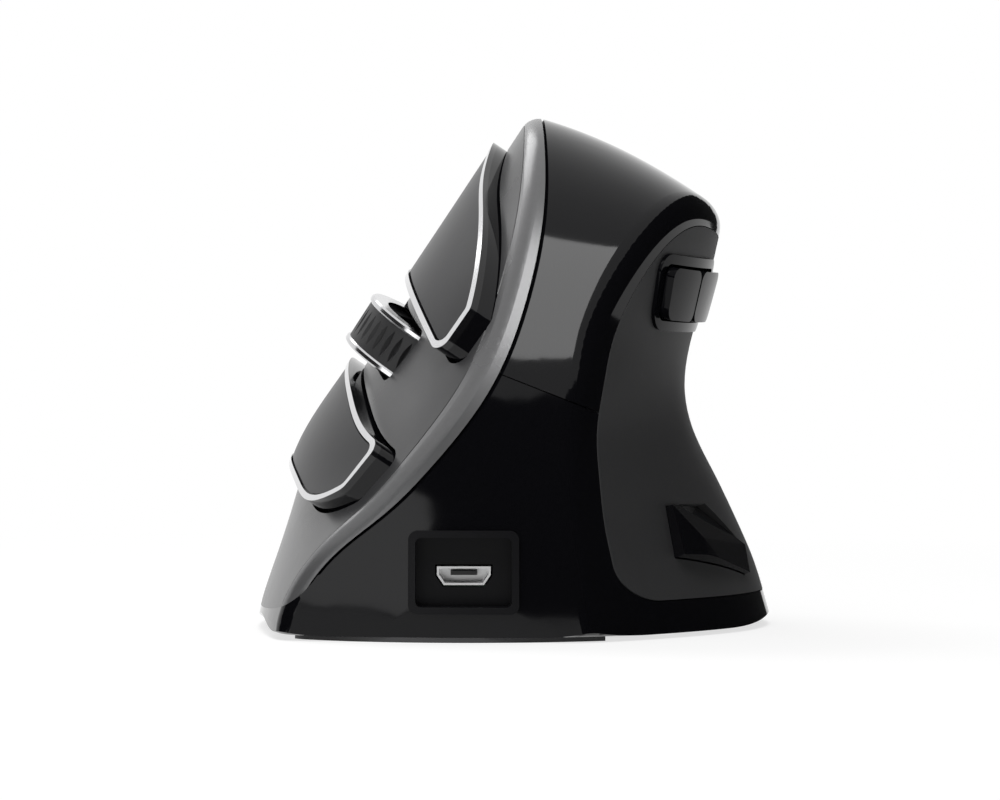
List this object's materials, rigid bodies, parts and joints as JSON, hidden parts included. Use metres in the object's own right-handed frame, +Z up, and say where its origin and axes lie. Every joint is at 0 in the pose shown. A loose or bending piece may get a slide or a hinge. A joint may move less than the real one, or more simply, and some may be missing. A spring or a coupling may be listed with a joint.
{
  "type": "vertical ergonomic mouse",
  "caption": "Right-hand vertical mouse with a sloped finger side, hinged main buttons, a scroll wheel, thumb buttons and a charging socket.",
  "frame": {"origin": "on the desk, under the middle of the mouse's box", "axes": "+Z up from the desk, -Y the front where the buttons and the charging socket are, +X the thumb side"},
  "size_m": [0.0765, 0.1004, 0.0761],
  "materials": {
    "gloss_black": "polished black moulding",
    "gloss_grey": "polished dark grey moulding",
    "satin_grey": "satin grey trim",
    "rubber_grip": "matte soft rubber",
    "cap_black": "black moulding",
    "silver_rim": "bright plated rim",
    "satin_dark": "satin dark grey",
    "thumb_key": "polished near-black",
    "tyre_rubber": "ribbed rubber",
    "pod_window": "polished smoked window",
    "inner_plastic": "unpainted black nylon",
    "switch_case": "switch case",
    "plunger_white": "natural plastic plunger",
    "circuit_board": "green circuit board",
    "chip_black": "moulded chip case",
    "clear_lens": "clear lens plastic",
    "steel": "bright steel",
    "socket_tongue": "black contact tongue",
    "cell_foil": "foil pouch",
    "foot_ptfe": "slippery foot strip",
    "knob": "ribbed grey knob"
  },
  "bodies": {
    "housing": {"upper_shell": "gloss_black", "lower_shell": "gloss_black", "base_plate": "gloss_black", "lid_screws": "steel", "front_foot": "foot_ptfe", "rear_foot": "foot_ptfe", "finger_plate": "gloss_grey", "trim_band": "satin_grey", "thumb_grip": "rubber_grip", "side_button_frame": "gloss_grey", "display_pod": "pod_window", "display_board": "circuit_board", "port_surround": "gloss_black", "usb_socket_shell": "steel", "usb_socket_tongue": "socket_tongue", "main_board": "circuit_board", "sensor_chip": "chip_black", "sensor_lens": "clear_lens", "battery": "cell_foil", "power_switch": "inner_plastic", "finger_board": "circuit_board", "board_screws": "steel", "wheel_guide": "inner_plastic", "index_switch": "switch_case", "middle_switch": "switch_case", "wheel_switch": "switch_case", "speed_switch": "switch_case", "forward_switch": "switch_case", "back_switch": "switch_case", "thumb_board": "circuit_board", "index_hinge_pin": "steel", "middle_hinge_pin": "steel"},
    "index_button": {"index_button": "cap_black", "index_button_rim": "silver_rim", "index_button_face": "satin_dark"},
    "middle_button": {"middle_button": "cap_black", "middle_button_rim": "silver_rim", "middle_button_face": "satin_dark"},
    "wheel_carrier": {"wheel_carrier": "inner_plastic", "wheel_encoder": "inner_plastic"},
    "wheel": {"wheel_hub": "inner_plastic", "wheel_tyre": "tyre_rubber", "wheel_rims": "silver_rim", "wheel_axle": "steel"},
    "speed_button": {"speed_button": "satin_dark"},
    "forward_button": {"forward_button": "thumb_key"},
    "back_button": {"back_button": "thumb_key"},
    "index_plunger": {"index_plunger": "plunger_white"},
    "middle_plunger": {"middle_plunger": "plunger_white"},
    "wheel_plunger": {"wheel_plunger": "plunger_white"},
    "speed_plunger": {"speed_plunger": "plunger_white"},
    "forward_plunger": {"forward_plunger": "plunger_white"},
    "back_plunger": {"back_plunger": "plunger_white"},
    "power_knob": {"power_knob": "knob"}
  },
  "joints": [
    {"name": "index_press", "type": "hinge", "parent": "housing", "child": "index_button", "pos_m": [-0.00259, 0.008, 0.05989], "axis": [0.5487, 0, 0.836], "range_deg": [0, 1], "stiffness_Nm_per_rad": 0.5, "springref_deg": -1.72},
    {"name": "index_plunger_slide", "type": "slide", "parent": "housing", "child": "index_plunger", "axis": [0.836, 0, -0.5487], "range_m": [0, 0.0005]},
    {"name": "middle_press", "type": "hinge", "parent": "housing", "child": "middle_button", "pos_m": [-0.02316, 0.008, 0.02854], "axis": [0.5487, 0, 0.836], "range_deg": [0, 1], "stiffness_Nm_per_rad": 0.5, "springref_deg": -1.72},
    {"name": "middle_plunger_slide", "type": "slide", "parent": "housing", "child": "middle_plunger", "axis": [0.836, 0, -0.5487], "range_m": [0, 0.0005]},
    {"name": "wheel_click", "type": "slide", "parent": "housing", "child": "wheel_carrier", "axis": [0.836, 0, -0.5487], "range_m": [0, 0.0004], "stiffness_N_per_m": 1800, "springref_m": -0.0006},
    {"name": "wheel_plunger_slide", "type": "slide", "parent": "housing", "child": "wheel_plunger", "axis": [0.836, 0, -0.5487], "range_m": [0, 0.0005]},
    {"name": "wheel_spin", "type": "hinge", "parent": "wheel_carrier", "child": "wheel", "pos_m": [-0.01386, -0.0155, 0.04026], "axis": [0.5433, -0.1392, 0.8279], "continuous": true},
    {"name": "speed_press", "type": "slide", "parent": "housing", "child": "speed_button", "axis": [0.836, 0, -0.5487], "range_m": [0, 0.0005], "stiffness_N_per_m": 1000, "springref_m": -0.0006},
    {"name": "speed_plunger_slide", "type": "slide", "parent": "housing", "child": "speed_plunger", "axis": [0.836, 0, -0.5487], "range_m": [0, 0.0005]},
    {"name": "forward_press", "type": "slide", "parent": "housing", "child": "forward_button", "axis": [-0.9119, 0.3444, 0.2232], "range_m": [0, 0.0005], "stiffness_N_per_m": 1000, "springref_m": -0.0006},
    {"name": "forward_plunger_slide", "type": "slide", "parent": "housing", "child": "forward_plunger", "axis": [-0.9119, 0.3444, 0.2232], "range_m": [0, 0.0005]},
    {"name": "back_press", "type": "slide", "parent": "housing", "child": "back_button", "axis": [-0.9119, 0.3444, 0.2232], "range_m": [0, 0.0005], "stiffness_N_per_m": 1000, "springref_m": -0.0006},
    {"name": "back_plunger_slide", "type": "slide", "parent": "housing", "child": "back_plunger", "axis": [-0.9119, 0.3444, 0.2232], "range_m": [0, 0.0005]},
    {"name": "power_slide", "type": "slide", "parent": "housing", "child": "power_knob", "axis": [0, 1, 0], "range_m": [0, 0.003]}
  ],
  "couplings": [
    {"joint": "index_plunger_slide", "follows": "index_press", "m_per_rad": 0.021772},
    {"joint": "middle_plunger_slide", "follows": "middle_press", "m_per_rad": 0.021772},
    {"joint": "wheel_plunger_slide", "follows": "wheel_click", "ratio": 0.8},
    {"joint": "speed_plunger_slide", "follows": "speed_press", "ratio": 0.8},
    {"joint": "forward_plunger_slide", "follows": "forward_press", "ratio": 0.8},
    {"joint": "back_plunger_slide", "follows": "back_press", "ratio": 0.8}
  ]
}
